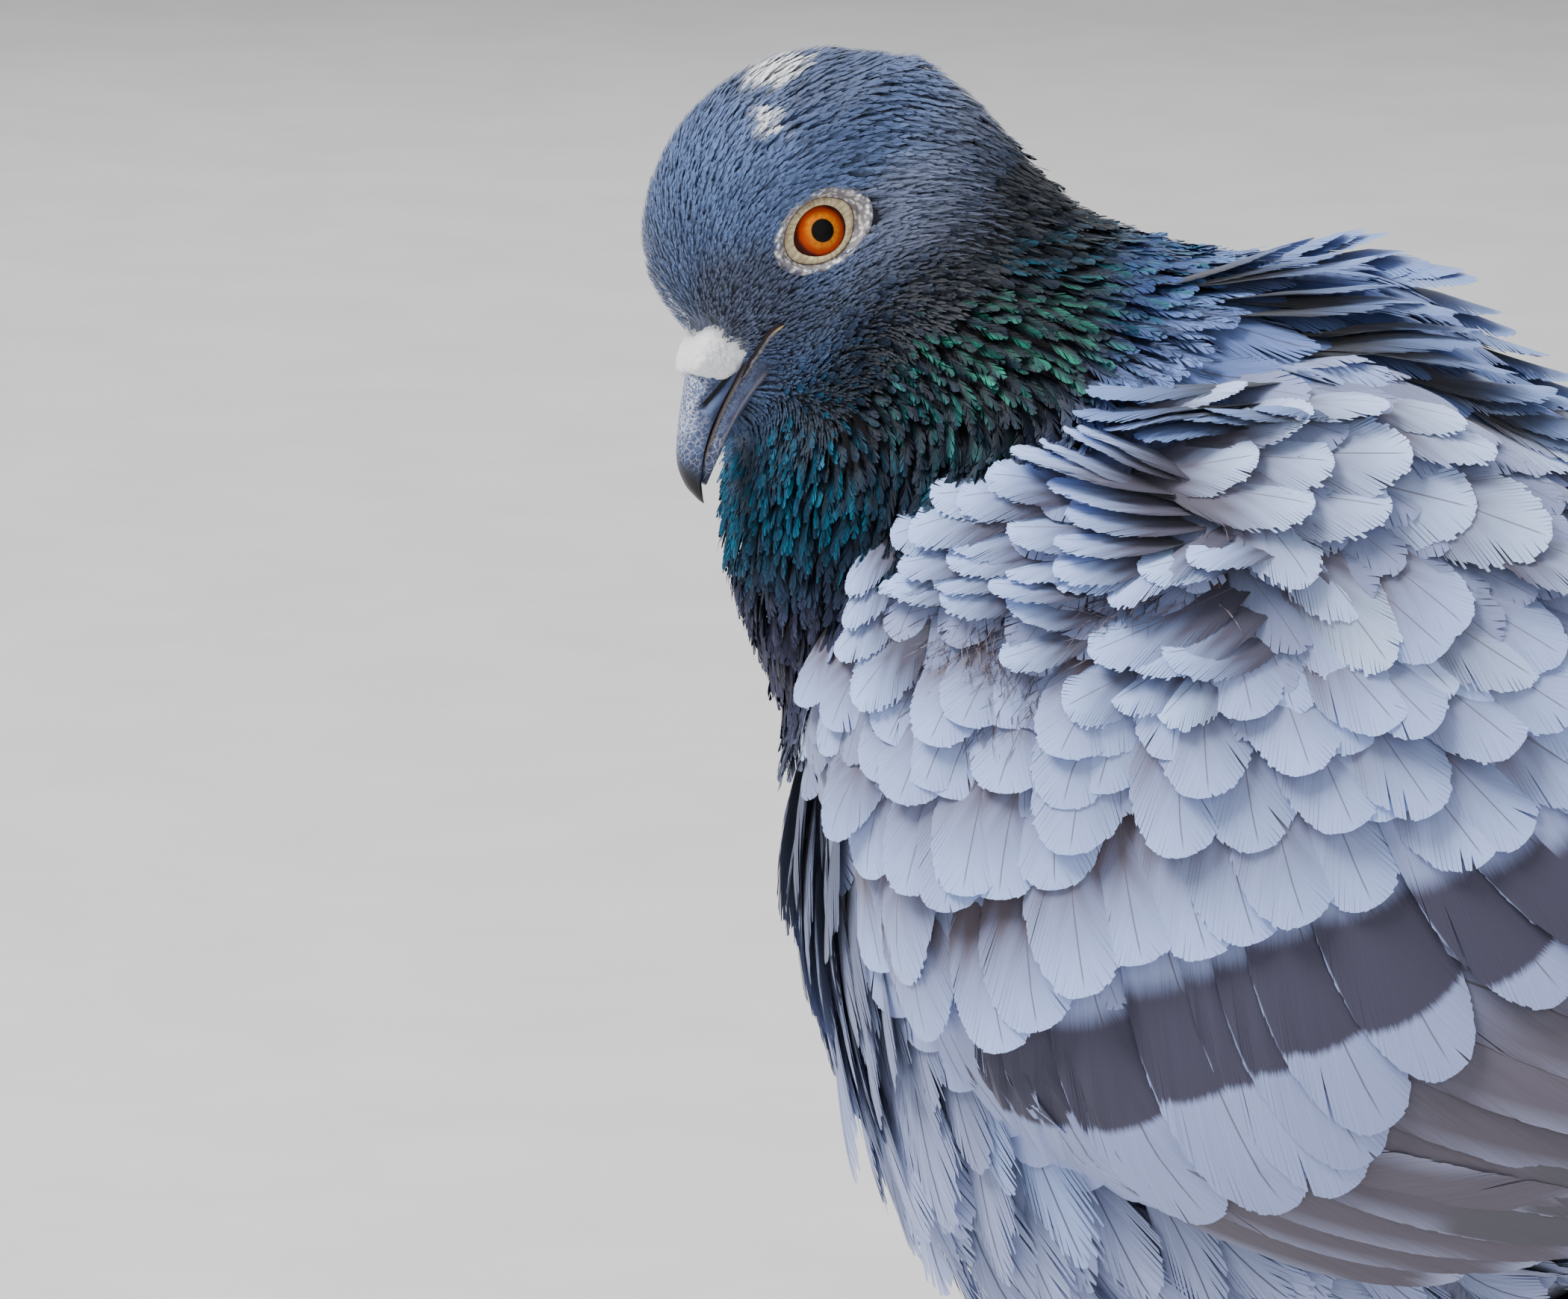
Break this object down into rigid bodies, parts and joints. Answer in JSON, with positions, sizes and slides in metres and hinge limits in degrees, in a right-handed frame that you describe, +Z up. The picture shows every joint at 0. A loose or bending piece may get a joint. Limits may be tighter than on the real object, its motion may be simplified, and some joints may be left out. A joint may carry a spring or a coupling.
{
  "type": "pigeon model",
  "caption": "Life-size feral pigeon standing on both feet, plumage fluffed, bill lowered to its left; a still museum-style model.",
  "frame": {"origin": "on the ground, under the middle of the bird's bounding box", "axes": "+Z up, -Y the way the body faces, +X the bird's left"},
  "size_m": [0.1114, 0.2659, 0.2053],
  "materials": {
    "head_plumage": "short slate-grey feathers",
    "neck_plumage": "near-black hackles with green gloss",
    "body_plumage": "loose blue-grey contour feathers",
    "wing_plumage": "pale blue-grey coverts with two dark bars",
    "flight_feathers": "dark grey flight and tail feathers",
    "horn": "dark horn with pale flakes",
    "cere_skin": "chalky white skin",
    "eye": "wet orange iris with black pupil",
    "leg_skin": "dull red scaly skin"
  },
  "bodies": {
    "root": {"head": "head_plumage", "neck": "neck_plumage", "trunk": "body_plumage", "wing_left": "wing_plumage", "wing_right": "wing_plumage", "primaries_left": "flight_feathers", "primaries_right": "flight_feathers", "tail": "flight_feathers", "thigh_left": "body_plumage", "thigh_right": "body_plumage", "bill_upper": "horn", "bill_lower": "horn", "cere": "cere_skin", "eye_left": "eye", "eye_right": "eye", "shank_left": "leg_skin", "shank_right": "leg_skin", "foot_left": "leg_skin", "foot_right": "leg_skin", "claw_inner_left": "horn", "claw_middle_left": "horn", "claw_outer_left": "horn", "claw_hind_left": "horn", "claw_inner_right": "horn", "claw_middle_right": "horn", "claw_outer_right": "horn", "claw_hind_right": "horn"}
  },
  "joints": []
}
